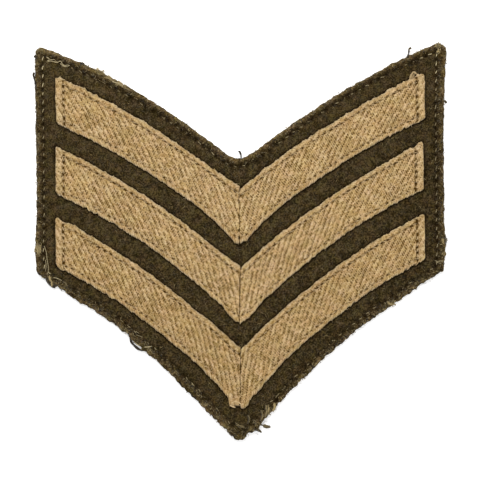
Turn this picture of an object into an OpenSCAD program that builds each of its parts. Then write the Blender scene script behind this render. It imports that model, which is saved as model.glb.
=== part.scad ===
// Rank chevron: three bars of worsted tape sewn on a turned-edge backing of felted wool.
// The badge lies face up, +Y towards its notched edge, with z = 0 on the back of its hem.

/* [Backing outline] */
// Overall width across the upright sides
badge_w = 126.8; // [122:0.2:132]
// Overall height from the foot's tip to the top corners
badge_h = 122.6; // [118:0.2:128]
// Slope of the notched edge at the centre line, in degrees
notch_slope = 41.3; // [38:0.1:44]
// Bend radius of each half of the notched edge
notch_bend_r = 209; // [190:1:260]
// Slope of the foot's edges at the centre line, in degrees
foot_slope = 53; // [50:0.1:56]
// Bend radius of each half of the foot
foot_bend_r = 207; // [185:1:240]
// Rounding at the bottom of the notch
notch_r = 7; // [3:0.5:9]
// Rounding of the foot's tip
tip_r = 6; // [3:0.5:8]
// Rounding of the four outer corners
corner_r = 2; // [1.2:0.1:3]

/* [Backing cloth] */
// Thickness of one layer of the wool cloth
cloth_t = 1.1; // [0.9:0.05:1.5]
// Width of the edge that is turned under to the back
hem_w = 7; // [5:0.5:9]
// Distance of the edge stitching from the edge
stitch_inset = 2.5; // [2.4:0.1:4]
// Width of the groove that stitching pulls into cloth and tape
groove_w = 1.1; // [0.6:0.1:1.4]
// Depth of that groove in the cloth
groove_depth = 0.35; // [0.1:0.05:0.5]

/* [Tape] */
// Width of the tape
tape_w = 12.7; // [12:0.1:14]
// Thickness of the tape, measured on its middle line
tape_t = 1.25; // [1:0.05:1.6]
// Distance of the seam stitching from each long edge of the tape
tape_stitch_inset = 1.7; // [1.2:0.1:2.4]
// Distance of the end stitching from the tape's folded end
end_stitch_inset = 2.5; // [2:0.1:4]
// Depth of the grooves that the stitching pulls into the tape
tape_groove_depth = 0.3; // [0.1:0.05:0.5]
// Distance from the centre line to the tape's folded end
bar_reach = 57.2; // [54:0.1:58]
// Clearance between the two tapes of a chevron, and between tape and cloth
seam_gap = 0.1; // [0.05:0.05:0.3]

/* [Top chevron] */
// Height of its tapes' middle line on the centre seam, above the badge's middle
top_seam_y = 8.1; // [7:0.1:10]
// Slope of that line at the seam, in degrees
top_slope = 40.8; // [39:0.1:43]
// Bend radius of that line
top_bend_r = 241; // [220:1:270]
// How much of the chevron's sharp lower point is trimmed away
top_trim = 0.5; // [0.2:0.1:2]

/* [Middle chevron] */
// Height of its tapes' middle line on the centre seam, above the badge's middle
middle_seam_y = -16.8; // [-18:0.1:-16]
// Slope of that line at the seam, in degrees
middle_slope = 44.1; // [42:0.1:46]
// Bend radius of that line
middle_bend_r = 217; // [200:1:240]
// How much of the chevron's sharp lower point is trimmed away
middle_trim = 1.2; // [0.2:0.1:2]

/* [Bottom chevron] */
// Height of its tapes' middle line on the centre seam, above the badge's middle
bottom_seam_y = -42.7; // [-43.5:0.1:-41]
// Slope of that line at the seam, in degrees
bottom_slope = 47.8; // [46:0.1:49]
// Bend radius of that line
bottom_bend_r = 200; // [185:1:220]
// How much of the chevron's sharp lower point is trimmed away
bottom_trim = 1; // [0.2:0.1:2]

/* [Hidden] */
// Fine enough that the long bends stay smooth
$fn = 720;

// Each chevron is a row, and these are its columns
SEAM_Y = 0;
SLOPE = 1;
BEND_R = 2;
TRIM = 3;
TOP = [top_seam_y, top_slope, top_bend_r, top_trim];
MIDDLE = [middle_seam_y, middle_slope, middle_bend_r, middle_trim];
BOTTOM = [bottom_seam_y, bottom_slope, bottom_bend_r, bottom_trim];
LEFT = -1;
RIGHT = 1;

wool = [0.24, 0.21, 0.15];
worsted = [0.75, 0.63, 0.43];

half_w = badge_w / 2;
half_h = badge_h / 2;
rim_t = 2 * cloth_t;
bar_z = rim_t + seam_gap;

// Smallest rounding that a corner keeps when the outline is drawn inside itself
min_round = 0.2;
// Points along each long edge, each corner, the notch and the tip, for one half of the outline
edge_steps = 16;
corner_steps = 6;
vee_steps = 6;
// Points round the section of the turned edge
rim_steps = 8;
// Sideways run of the walls of the hem's step and of the stitched groove
wall_lean = 0.25;
// Radius of the tape's rolled long edges and of its folded end, and the height of their bands
roll_r = 0.46 * tape_t;
roll_steps = 6;
band_t = 2 * roll_r;
// Fall of the end band from its stitching to the fold
end_fall = 0.06;

// Angles that the tape is swept past its ends before it is trimmed
sweep_spare = 4;
// Room that the trimming shapes leave round a tape
trim_room = 20;

// Height at which a circle of radius reach about c crosses the upright line at x
function crossing_y(c, reach, x) = c.y + sqrt(reach * reach - (x - c.x) * (x - c.x));

// Centre of the arc that a chevron's right-hand tape follows
function bend_centre(row) = [row[BEND_R] * sin(row[SLOPE]), row[SEAM_Y] - row[BEND_R] * cos(row[SLOPE])];

function polar(r, a) = [r * cos(a), r * sin(a)];
function direction(from, to) = atan2(to.y - from.y, to.x - from.x);
// Points along an arc, without its last one, where the next stretch starts
function arc(c, r, a0, a1, steps) = [for (i = [0:steps - 1]) c + polar(r, a0 + (a1 - a0) * i / steps)];
function inner(points) = [for (i = [1:len(points) - 2]) points[i]];
function mirrored(points) = [for (i = [len(points) - 1:-1:0]) [-points[i].x, points[i].y]];

// The notched edge touches the top corner's rounding, which fixes its height on the badge
notch_arc_x = notch_bend_r * sin(notch_slope);
notch_centre = [
    notch_arc_x,
    half_h - corner_r - sqrt(pow(notch_bend_r - corner_r, 2) - pow(half_w - corner_r - notch_arc_x, 2)),
];
// The foot's edge touches the tip's rounding, which fixes its height in the same way
foot_arc_x = foot_bend_r * sin(foot_slope);
foot_centre = [
    foot_arc_x,
    tip_r - half_h - sqrt(pow(foot_bend_r + tip_r, 2) - pow(foot_arc_x, 2)),
];

// Right half of the outline, drawn a distance d inside the edge, from the tip up to the notch.
// Every rounding touches its two neighbours, so the outline stays smooth at each inset.
function half_outline(d) =
    let (
        tip = max(tip_r - d, min_round),
        corner = max(corner_r - d, min_round),
        side_x = half_w - d,
        upper_r = notch_bend_r - d,
        lower_r = foot_bend_r + d,
        tip_c = [0, crossing_y(foot_centre, lower_r + tip, 0)],
        low_c = [side_x - corner, crossing_y(foot_centre, lower_r + corner, side_x - corner)],
        top_c = [side_x - corner, crossing_y(notch_centre, upper_r - corner, side_x - corner)],
        vee_c = [0, crossing_y(notch_centre, upper_r + notch_r + d, 0)],
        tip_a = direction(foot_centre, tip_c),
        low_a = direction(foot_centre, low_c),
        top_a = direction(notch_centre, top_c),
        vee_a = direction(notch_centre, vee_c)
    )
    concat(
        arc(tip_c, tip, -90, tip_a - 180, vee_steps),
        arc(foot_centre, lower_r, tip_a, low_a, edge_steps),
        arc(low_c, corner, low_a - 180, 0, corner_steps),
        arc(top_c, corner, 0, top_a, corner_steps),
        arc(notch_centre, upper_r, top_a, vee_a, edge_steps),
        arc(vee_c, notch_r + d, vee_a - 180, -90, vee_steps),
        [vee_c - [0, notch_r + d]]
    );

function outline(d) =
    let (half = half_outline(d))
    concat(half, mirrored(inner(half)));

// Section of the turned edge as [inset, height], from the hem's inner edge on the back,
// round the edge, to the far side of the stitched groove on the front
rim_section = concat(
    [
        [hem_w + wall_lean, cloth_t],
        [hem_w, 0],
    ],
    [
        for (i = [0:rim_steps])
            let (a = 180 * i / rim_steps)
            [cloth_t * (1 - sin(a)), cloth_t * (1 - cos(a))]
    ],
    [
        [stitch_inset - groove_w / 2, rim_t],
        [stitch_inset - groove_w / 2 + wall_lean, rim_t - groove_depth],
        [stitch_inset + groove_w / 2 - wall_lean, rim_t - groove_depth],
        [stitch_inset + groove_w / 2, rim_t],
    ]
);

// One closed shell through a ring of points for each row of the section
module lofted(section) {
    rings = [for (row = section) [for (p = outline(row[0])) [p.x, p.y, row[1]]]];
    count = len(rings[0]);
    last = len(rings) - 1;
    walls = [
        for (k = [0:last - 1], i = [0:count - 1])
            let (j = (i + 1) % count)
            [k * count + i, (k + 1) * count + i, (k + 1) * count + j, k * count + j]
    ];
    back = [for (i = [0:count - 1]) i];
    front = [for (i = [count - 1:-1:0]) last * count + i];
    polyhedron(points = [for (ring = rings) each ring], faces = concat([back], walls, [front]), convexity = 6);
}

module backing() {
    color(wool)
        lofted(rim_section);
}

// Half of the tape's section as [distance from the middle line, height]: a rolled long edge,
// then the groove of the seam stitching
function half_tape(edge) =
    let (groove = edge - tape_stitch_inset)
    concat(
        arc([edge - roll_r, roll_r], roll_r, -90, 90, roll_steps),
        [
            [edge - roll_r, band_t],
            [groove + groove_w / 2, band_t],
            [groove, tape_t - tape_groove_depth],
            [groove - groove_w / 2, tape_t],
        ]
    );

// The tape swept along its bend, longer than it will be at both ends
module bent_tape(row) {
    r = row[BEND_R];
    centre = bend_centre(row);
    end_a = direction(centre, [bar_reach, crossing_y(centre, r, bar_reach)]);
    seam_a = 90 + row[SLOPE];
    section = half_tape(tape_w / 2);
    translate([centre.x, centre.y, 0])
        rotate([0, 0, end_a - sweep_spare])
            rotate_extrude(angle = seam_a - end_a + 2 * sweep_spare)
                translate([r, 0])
                    polygon(concat(section, mirrored(section)));
}

// The space that a right-hand tape fills: from the centre seam to the folded end, with the
// groove of the end stitching, and no lower than the trimmed point
module tape_trim(row) {
    point_y = crossing_y(bend_centre(row), row[BEND_R] - tape_w / 2, 0) + row[TRIM];
    groove = bar_reach - end_stitch_inset;
    profile = concat(
        [
            [seam_gap / 2, -trim_room],
            [bar_reach, -trim_room],
        ],
        arc([bar_reach - roll_r, roll_r - end_fall], roll_r, 0, 90, roll_steps),
        [
            [bar_reach - roll_r, band_t - end_fall],
            [groove + groove_w / 2, band_t],
            [groove, tape_t - tape_groove_depth],
            [groove - groove_w / 2, tape_t],
            [groove - groove_w / 2, trim_room],
            [seam_gap / 2, trim_room],
        ]
    );
    translate([0, point_y, 0])
        mirror([0, 1, 0])
            rotate([90, 0, 0])
                linear_extrude(badge_h)
                    polygon(profile);
}

module bar(row, side) {
    color(worsted)
        translate([0, 0, bar_z])
            mirror([side == LEFT ? 1 : 0, 0, 0])
                intersection() {
                    bent_tape(row);
                    tape_trim(row);
                }
}

module top_left_bar() { bar(TOP, LEFT); }
module top_right_bar() { bar(TOP, RIGHT); }
module middle_left_bar() { bar(MIDDLE, LEFT); }
module middle_right_bar() { bar(MIDDLE, RIGHT); }
module bottom_left_bar() { bar(BOTTOM, LEFT); }
module bottom_right_bar() { bar(BOTTOM, RIGHT); }

backing();
top_left_bar();
top_right_bar();
middle_left_bar();
middle_right_bar();
bottom_left_bar();
bottom_right_bar();
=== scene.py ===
"""Looks of the rank chevron: felted backing, woven tapes, stitching and loose fibres."""

import math
from collections import namedtuple
from functools import lru_cache

import bpy
import numpy as np
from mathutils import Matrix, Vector
from mathutils.geometry import delaunay_2d_cdt


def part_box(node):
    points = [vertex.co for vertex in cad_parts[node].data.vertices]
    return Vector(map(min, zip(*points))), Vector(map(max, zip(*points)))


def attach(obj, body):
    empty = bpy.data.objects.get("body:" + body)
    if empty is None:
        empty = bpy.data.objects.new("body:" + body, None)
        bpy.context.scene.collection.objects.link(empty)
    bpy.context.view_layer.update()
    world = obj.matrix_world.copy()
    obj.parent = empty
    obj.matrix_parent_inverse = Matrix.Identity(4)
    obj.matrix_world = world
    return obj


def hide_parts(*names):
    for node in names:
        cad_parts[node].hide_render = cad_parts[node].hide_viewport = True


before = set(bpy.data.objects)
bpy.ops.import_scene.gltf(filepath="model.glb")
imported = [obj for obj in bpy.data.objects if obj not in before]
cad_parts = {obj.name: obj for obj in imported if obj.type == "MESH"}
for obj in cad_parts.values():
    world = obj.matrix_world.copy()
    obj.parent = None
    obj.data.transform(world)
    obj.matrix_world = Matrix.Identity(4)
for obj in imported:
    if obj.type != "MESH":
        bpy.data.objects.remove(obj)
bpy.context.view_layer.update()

# Sizes are in millimetres up to the point where a mesh is made
MM = 0.001

# Backing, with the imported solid's sizes
cloth_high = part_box("backing")[1]
HALF_W = cloth_high[0] / MM
HALF_H = cloth_high[1] / MM
RIM_T = cloth_high[2] / MM
CLOTH_T = RIM_T / 2
NOTCH_SLOPE = math.radians(41.3)
NOTCH_BEND_R = 209
NOTCH_R = 7
FOOT_SLOPE = math.radians(53)
FOOT_BEND_R = 207
TIP_R = 6
CORNER_R = 2
MIN_ROUND = 0.2
HEM_W = 7
EDGE_STITCH_INSET = 2.5
EDGE_STITCH_PITCH = 2.7

# How far the cloth's real edge lies inside the even outline, at these distances from the centre
# line, or at these heights along its upright sides
NOTCH_X = [-61, -50, -40, -30, -20, -12, -5, -3, -1, 1, 3, 5, 12, 20, 30, 40, 50, 61]
NOTCH_SHIFT = [
    0.3, 0.05, -0.15, 0.0, 0.2, 0.25, 0.1, 0.25, 0.65,
    0.0, -0.35, -0.05, 0.25, 0.7, 0.65, 0.75, 0.45, 0.4,
]
LEFT_FOOT_X = [1, 3, 5, 8, 14, 18, 22, 26, 30, 34, 38, 42, 46, 50, 54, 61]
LEFT_FOOT_SHIFT = [
    0.2, 0.3, 0.3, -0.15, -0.25, -0.55, -0.2, -0.2,
    -0.45, -0.1, 0.5, 0.25, 0.15, -0.6, 0.1, 0.4,
]
RIGHT_FOOT_X = [1, 3, 5, 8, 11, 14, 20, 26, 34, 38, 42, 46, 50, 54, 61]
RIGHT_FOOT_SHIFT = [
    1.95, 2.4, 0.55, 1.25, 0.85, 0.95, 0.5, 0.5,
    0.5, 0.4, 0.3, -0.05, 0.0, 0.25, 0.4,
]
SIDE_Y = [-9, -6, -3, 0, 3, 5, 15, 30, 40, 45, 52, 58]
LEFT_SHIFT = [0.1, 0.0, -0.5, -0.3, 0.1, 0.15, 0.45, 0.4, 0.4, 0.25, 0.25, 0.45]
RIGHT_SHIFT = [0.3, 0.2, 0.0, -0.3, 0.1, 0.15, 0.2, 0.25, 0.0, -0.15, -0.5, -0.9]
# How deep that crookedness runs into the cloth, how near the centre line its sideways part fades
# out, and how far the loose fibres reach past the edge
EDGE_DEPTH = 3
CENTRE_FADE = 3
EDGE_FUZZ = 0.12

# The badge doesn't lie quite flat: broad swells lift it away from its middle
LIE_RISE = 0.28
LIE_CELL = 41
LIE_MIDDLE_Y = -5

# Tapes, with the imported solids' sizes
tape_low, tape_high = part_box("top_right_bar")
TAPE_Z = tape_low[2] / MM
TAPE_T = (tape_high[2] - tape_low[2]) / MM
REACH = tape_high[0] / MM
TAPE_W = 12.7
ROLL_R = 0.46 * TAPE_T
BAND_T = 2 * ROLL_R

Chevron = namedtuple("Chevron", "name seam_y slope bend_r")
CHEVRONS = [
    Chevron("top", 8.1, math.radians(40.8), 241),
    Chevron("middle", -16.8, math.radians(44.1), 217),
    Chevron("bottom", -42.7, math.radians(47.8), 200),
]
LEFT = -1
RIGHT = 1
SIDE_NAMES = {LEFT: "left", RIGHT: "right"}
TAPES = [(chevron, side) for chevron in CHEVRONS for side in (LEFT, RIGHT)]

# How far the centre seam wanders sideways, by height
SEAM_Y = [-50, -43, -34, -22, -18, -12, -9, 0, 3, 10, 15, 17]
SEAM_SHIFT = [-0.58, -0.45, -0.3, -0.58, -0.4, -0.3, 0.0, -0.35, -0.42, -0.22, -0.45, 0.3]

# How far each tape strays from its even arc: outwards at its folded end, upwards along its two
# edges at EDGE_X, and further upwards along its upper edge near the folded end at TIP_X. Both edges
# lie a little further out again, by TAPE_SPREAD.
EDGE_X = [0.5, 2, 3.5, 6, 13, 30, 45, 57]
TIP_X = [47.4, 48, 50, 51.5, 53, 54, 55, 55.6, 56.2]
TAPE_SPREAD = 0.12
Strays = namedtuple("Strays", "end upper lower tip")
STRAYS = {
    ("top", LEFT): Strays(
        end=-0.4,
        upper=[0.65, 0.7, 0.1, 0.0, -0.1, 0.2, 0.5, 0.35],
        lower=[-0.8, -1.15, -0.75, 0.15, 0.55, 0.35, 0.1, -0.1],
        tip=[0, 0.45, 0.3, 0.05, 0.1, 0.6, 0.4, 0.15, 0.1],
    ),
    ("top", RIGHT): Strays(
        end=0.3,
        upper=[0.3, 0.2, 0.0, 0.05, 0.1, -0.25, 0.0, 0.2],
        lower=[0.1, -0.8, -0.1, 0.5, 0.8, 0.5, 0.25, -0.3],
        tip=[0, 0, 0.1, 0.05, -0.1, 0, 0, 0, 0],
    ),
    ("middle", LEFT): Strays(
        end=-0.1,
        upper=[0.5, 0.1, -0.2, -0.45, -0.4, 0.0, 0.2, 0.3],
        lower=[0.4, -0.5, -0.75, 0.35, 0.4, 0.45, 0.2, -0.1],
        tip=[0, 0, 0, -0.1, -0.1, 0, 0, 0.4, 0.35],
    ),
    ("middle", RIGHT): Strays(
        end=-0.2,
        upper=[0.3, 0.0, 0.1, 0.2, 0.0, 0.05, 0.05, 0.6],
        lower=[1.15, 0.2, 0.3, 0.9, 0.8, 0.9, 0.55, 0.05],
        tip=[0, 0, 0.2, 0.15, 0, -0.3, 0.1, 0.3, 0.35],
    ),
    ("bottom", LEFT): Strays(
        end=0.05,
        upper=[0.5, 0.1, -0.25, 0.05, -0.65, -0.35, -0.1, 0.15],
        lower=[0.4, -0.6, -0.8, -0.2, 0.1, -0.35, -0.3, -0.8],
        tip=[0, 0.1, 0.45, 0.7, 0.3, 0.05, -0.15, 0, 0.25],
    ),
    ("bottom", RIGHT): Strays(
        end=0.0,
        upper=[0.3, 0.2, 0.2, 0.4, 0.3, 0.2, 0.3, 0.05],
        lower=[0.4, 0.9, 0.7, 0.7, 1.3, 0.9, 0.7, 0.2],
        tip=[0, 0, 0, 0.1, 0.15, 0.25, 0.1, 0.35, 0.25],
    ),
}

# Twill of the tape: spacing of the ends, which run along it, and of the picks, which cross it. Each
# yarn passes over two others and under two.
END_SPACING = 0.417
PICK_SPACING = 0.625
TWILL_REPEAT = 4
YARN_RISE = 0.08
YARN_R = 0.135
YARN_ROUND = 0.92
YARN_UNEVEN = 0.22
PICK_SINK = 0.065
# Direction of the ribs, and how deep the hollow between four yarns is by its place across the rib
RIB_COS = PICK_SPACING / math.hypot(PICK_SPACING, END_SPACING)
RIB_SIN = END_SPACING / math.hypot(PICK_SPACING, END_SPACING)
HOLLOWS = np.array([0.45, 0.3, 1.25, 0.7])
HOLLOW_DEPTH = 0.18

# The point of the bottom chevron is cut off square: the cut's height, and its reach on each side
POINT_CUT_Y = -51.0
POINT_CUT_X = {LEFT: 4.1, RIGHT: 2.1}

# Rows of stitching on a tape: how far in from its edge or end they run, their pitch, the size of
# the holes along and across the row, how much shade is painted along the line between the holes, and
# the thread's tone
TAPE_STITCH_PITCH = 2.0
Row = namedtuple("Row", "inset pitch hole_length hole_width line tone")
LOWER_ROW = Row(1.45, TAPE_STITCH_PITCH, 0.45, 0.20, 0.25, 0.3)
UPPER_ROW = Row(1.7, TAPE_STITCH_PITCH, 0.80, 0.24, 0.80, 0.3)
END_ROW = Row(2.4, 1.95, 0.72, 0.34, 0.60, 0.95)


@lru_cache(maxsize=None)
def dice(seed):
    """A square of random numbers from -1 to 1 that is always the same for a seed."""
    return np.random.default_rng(seed).uniform(-1, 1, (256, 256))


def picked(i, j, seed):
    """The random number of each pair of whole numbers."""
    table = dice(seed)
    i = np.asarray(i).astype(int) % len(table)
    j = np.asarray(j).astype(int) % len(table)
    return table[i, j]


def noise(x, y, cell, seed):
    """Smooth random hills from -1 to 1, about one cell apart, that are the same for the same seed."""
    a, b = x / cell, y / cell
    i, j = np.floor(a), np.floor(b)
    s, t = a - i, b - j
    s, t = s * s * (3 - 2 * s), t * t * (3 - 2 * t)
    low = picked(i, j, seed) * (1 - s) + picked(i + 1, j, seed) * s
    high = picked(i, j + 1, seed) * (1 - s) + picked(i + 1, j + 1, seed) * s
    return low * (1 - t) + high * t


def hump(distance, width):
    """A smooth rise to 1 where the distance is 0."""
    return np.exp(-((distance / width) ** 2))


def step(value, start, end):
    """Runs smoothly from 0 at start to 1 at end, either of which may be the lower."""
    t = np.clip((value - start) / (end - start), 0, 1)
    return t * t * (3 - 2 * t)


def crossing_y(centre, reach, x):
    """Height at which a circle of radius reach about centre crosses the upright line at x."""
    return centre[1] + np.sqrt(reach * reach - (x - centre[0]) ** 2)


def lay(x, y):
    """How far the badge's uneven lie lifts it off the surface at a place."""
    away = step(np.hypot(x, y - LIE_MIDDLE_Y), 8, 60)
    return LIE_RISE * (1 + noise(x, y, LIE_CELL, 5)) * away


# Outline of the backing


def arc(centre, radius, start, end, spacing):
    """Points along an arc, without its last one."""
    count = max(3, round(abs(end - start) * radius / spacing))
    angles = np.linspace(start, end, count, endpoint=False)
    return centre + radius * np.c_[np.cos(angles), np.sin(angles)]


def crossing(centre, reach, x):
    """The same crossing as a point."""
    return np.array([x, crossing_y(centre, reach, x)])


def direction(start, end):
    """Angle of the line from one point to another."""
    return math.atan2(end[1] - start[1], end[0] - start[0])


notch_arc_x = NOTCH_BEND_R * math.sin(NOTCH_SLOPE)
notch_fall = math.sqrt((NOTCH_BEND_R - CORNER_R) ** 2 - (HALF_W - CORNER_R - notch_arc_x) ** 2)
NOTCH_CENTRE = np.array([notch_arc_x, HALF_H - CORNER_R - notch_fall])
foot_arc_x = FOOT_BEND_R * math.sin(FOOT_SLOPE)
foot_fall = math.sqrt((FOOT_BEND_R + TIP_R) ** 2 - foot_arc_x ** 2)
FOOT_CENTRE = np.array([foot_arc_x, TIP_R - HALF_H - foot_fall])


def outline(inset, spacing):
    """The backing's outline, drawn an inset inside its edge, anticlockwise from the foot's tip."""
    tip = max(TIP_R - inset, MIN_ROUND)
    corner = max(CORNER_R - inset, MIN_ROUND)
    side_x = HALF_W - inset
    upper_r = NOTCH_BEND_R - inset
    lower_r = FOOT_BEND_R + inset
    vee_r = NOTCH_R + inset
    tip_c = crossing(FOOT_CENTRE, lower_r + tip, 0)
    low_c = crossing(FOOT_CENTRE, lower_r + corner, side_x - corner)
    top_c = crossing(NOTCH_CENTRE, upper_r - corner, side_x - corner)
    vee_c = crossing(NOTCH_CENTRE, upper_r + vee_r, 0)
    tip_a = direction(FOOT_CENTRE, tip_c)
    low_a = direction(FOOT_CENTRE, low_c)
    top_a = direction(NOTCH_CENTRE, top_c)
    vee_a = direction(NOTCH_CENTRE, vee_c)
    side = np.linspace(low_c[1], top_c[1], round((top_c[1] - low_c[1]) / spacing), endpoint=False)
    half = np.vstack([
        arc(tip_c, tip, -math.pi / 2, tip_a - math.pi, spacing),
        arc(FOOT_CENTRE, lower_r, tip_a, low_a, spacing),
        arc(low_c, corner, low_a - math.pi, 0, spacing),
        np.c_[np.full(len(side), side_x), side],
        arc(top_c, corner, 0, top_a, spacing),
        arc(NOTCH_CENTRE, upper_r, top_a, vee_a, spacing),
        arc(vee_c, vee_r, vee_a - math.pi, -math.pi / 2, spacing),
        [[0, vee_c[1] - vee_r]],
    ])
    return np.vstack([half, half[-2:0:-1] * [-1, 1]])


def nearest(x, y, targets):
    """Distance to the nearest of the targets, worked out for one batch of places after another."""
    found = np.empty(len(x))
    batch = 4000
    for start in range(0, len(x), batch):
        part = slice(start, start + batch)
        gaps = np.hypot(x[part, None] - targets[:, 0], y[part, None] - targets[:, 1])
        found[part] = gaps.min(axis=1)
    return found


def evenly(inset, pitch):
    """Places at an even pitch along the outline at an inset, with its direction at each."""
    points = outline(inset, 0.3)
    closed = np.vstack([points, points[:1]])
    run = np.r_[0, np.cumsum(np.hypot(*np.diff(closed, axis=0).T))]

    def at(s):
        s = s % run[-1]
        return np.c_[np.interp(s, run, closed[:, 0]), np.interp(s, run, closed[:, 1])]

    places = np.linspace(0, run[-1], round(run[-1] / pitch), endpoint=False)
    ahead = at(places + 0.1) - at(places - 0.1)
    return at(places), np.arctan2(ahead[:, 1], ahead[:, 0])


# Route of the tapes


def bend_centre(chevron):
    """Middle of the circle that a right-hand tape's middle line follows."""
    return (
        chevron.bend_r * math.sin(chevron.slope),
        chevron.seam_y - chevron.bend_r * math.cos(chevron.slope),
    )


def along_tape(chevron, x, y):
    """Distance along and across a right-hand tape, from its middle line at the centre seam."""
    centre = bend_centre(chevron)
    angle = np.arctan2(y - centre[1], x - centre[0])
    u = chevron.bend_r * (math.pi / 2 + chevron.slope - angle)
    return u, np.hypot(x - centre[0], y - centre[1]) - chevron.bend_r


def stray(chevron, side, x, share):
    """How far up the tape strays at a share of its width, from its lower to its upper edge."""
    strays = STRAYS[chevron.name, side]
    low = np.interp(x, EDGE_X, strays.lower) - TAPE_SPREAD
    high = np.interp(x, EDGE_X, strays.upper) + np.interp(x, TIP_X, strays.tip) + TAPE_SPREAD
    edge_share = (2 * share - 1) ** 6
    row = chevron.slope * 40
    wobble = 0.10 * noise(x, share * 7 + row, 2.7, 11 + side)
    wobble = wobble + 0.34 * edge_share * noise(x, share * 2 + row, 0.85, 14 + side)
    if chevron.name == "bottom":
        even_y = crossing_y(bend_centre(chevron), chevron.bend_r - TAPE_W / 2, x)
        cut = step(POINT_CUT_X[side] - x, -0.25, 0.25) * np.clip(1 - share, 0, 1) ** 6
        low = low * (1 - cut)
        cut_y = POINT_CUT_Y + 0.45 * noise(side * x, 3, 0.8, 17)
        cut_y = cut_y + 0.25 * noise(side * x, 5, 2.1, 18)
        wobble = wobble + cut * (cut_y - even_y)
    return low + (high - low) * share + wobble


def tape_gap(x, y):
    """Distance of a place on the backing from the nearest tape, negative under the tapes."""
    out_x = np.abs(x)
    found = np.full(np.shape(x), np.inf)
    for chevron, side in TAPES:
        across = along_tape(chevron, out_x, y)[1]
        share = np.clip(across / TAPE_W + 0.5, 0, 1)
        across = along_tape(chevron, out_x, y - stray(chevron, side, out_x, share))[1]
        end = REACH + STRAYS[chevron.name, side].end
        gap = np.maximum(np.abs(across) - TAPE_W / 2, out_x - end)
        found = np.where(side * x >= 0, np.minimum(found, gap), found)
    return found


# Meshes


def placed(name, data):
    """A new object in the scene."""
    made = bpy.data.objects.new(name, data)
    bpy.context.scene.collection.objects.link(made)
    return made


def piece(name, points, faces, values, material):
    """A closed mesh of points in millimetres and groups of faces, with values at its points.

    The faces of a group have equal numbers of corners."""
    corners = np.concatenate([group.ravel() for group in faces])
    totals = np.concatenate([np.full(len(group), group.shape[1]) for group in faces])
    mesh = bpy.data.meshes.new(name)
    mesh.vertices.add(len(points))
    mesh.vertices.foreach_set("co", (np.asarray(points) * MM).astype(np.float32).ravel())
    mesh.loops.add(len(corners))
    mesh.loops.foreach_set("vertex_index", corners.astype(np.int32))
    mesh.polygons.add(len(totals))
    mesh.polygons.foreach_set("loop_start", (np.cumsum(totals) - totals).astype(np.int32))
    mesh.polygons.foreach_set("loop_total", totals.astype(np.int32))
    mesh.update(calc_edges=True)
    mesh.validate()
    mesh.shade_smooth()
    for key, value in values.items():
        attribute = mesh.attributes.new(key, "FLOAT", "POINT")
        attribute.data.foreach_set("value", value.astype(np.float32).ravel())
    mesh.materials.append(material)
    made = placed(name, mesh)
    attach(made, "root")
    return made


def tube_faces(count, rings, sides):
    """Faces of tubes whose points run tube by tube and ring by ring: walls, starts and ends."""
    first = np.arange(count)[:, None, None] * rings * sides
    ring = first + np.arange(rings - 1)[:, None] * sides
    here = np.arange(sides)
    after = (here + 1) % sides
    walls = np.stack([ring + here, ring + after, ring + sides + after, ring + sides + here], -1)
    return [walls.reshape(-1, 4), first[:, 0] + here[::-1], first[:, 0] + (rings - 1) * sides + here]


def level_normal(ahead):
    """Unit vectors that point level, to one side of each direction."""
    level = np.cross(ahead, [0, 0, 1])
    return level / (np.linalg.norm(level, axis=2, keepdims=True) + 1e-9)


def tubes(paths, radii, sides, tone):
    """Round bars along paths of equal numbers of points, as points, faces and a tone for each."""
    count, rings = paths.shape[:2]
    ahead = np.gradient(paths, axis=1)
    ahead /= np.linalg.norm(ahead, axis=2, keepdims=True) + 1e-9
    flat = level_normal(ahead)
    rise = np.cross(flat, ahead)
    angles = 2 * math.pi * np.arange(sides) / sides
    around = (
        flat[:, :, None] * np.cos(angles)[:, None] + rise[:, :, None] * np.sin(angles)[:, None]
    )
    points = (paths[:, :, None] + around * radii[:, :, None, None]).reshape(-1, 3)
    return points, tube_faces(count, rings, sides), np.repeat(tone, rings * sides)


def strand_piece(name, parts, material):
    """One piece made of several sets of tubes."""
    points, groups, tones, offset = [], [], [], 0
    for part_points, part_groups, part_tones in parts:
        points.append(part_points)
        groups += [group + offset for group in part_groups]
        tones.append(part_tones)
        offset += len(part_points)
    piece(name, np.vstack(points), groups, {"tone": np.concatenate(tones)}, material)


# Materials


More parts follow.
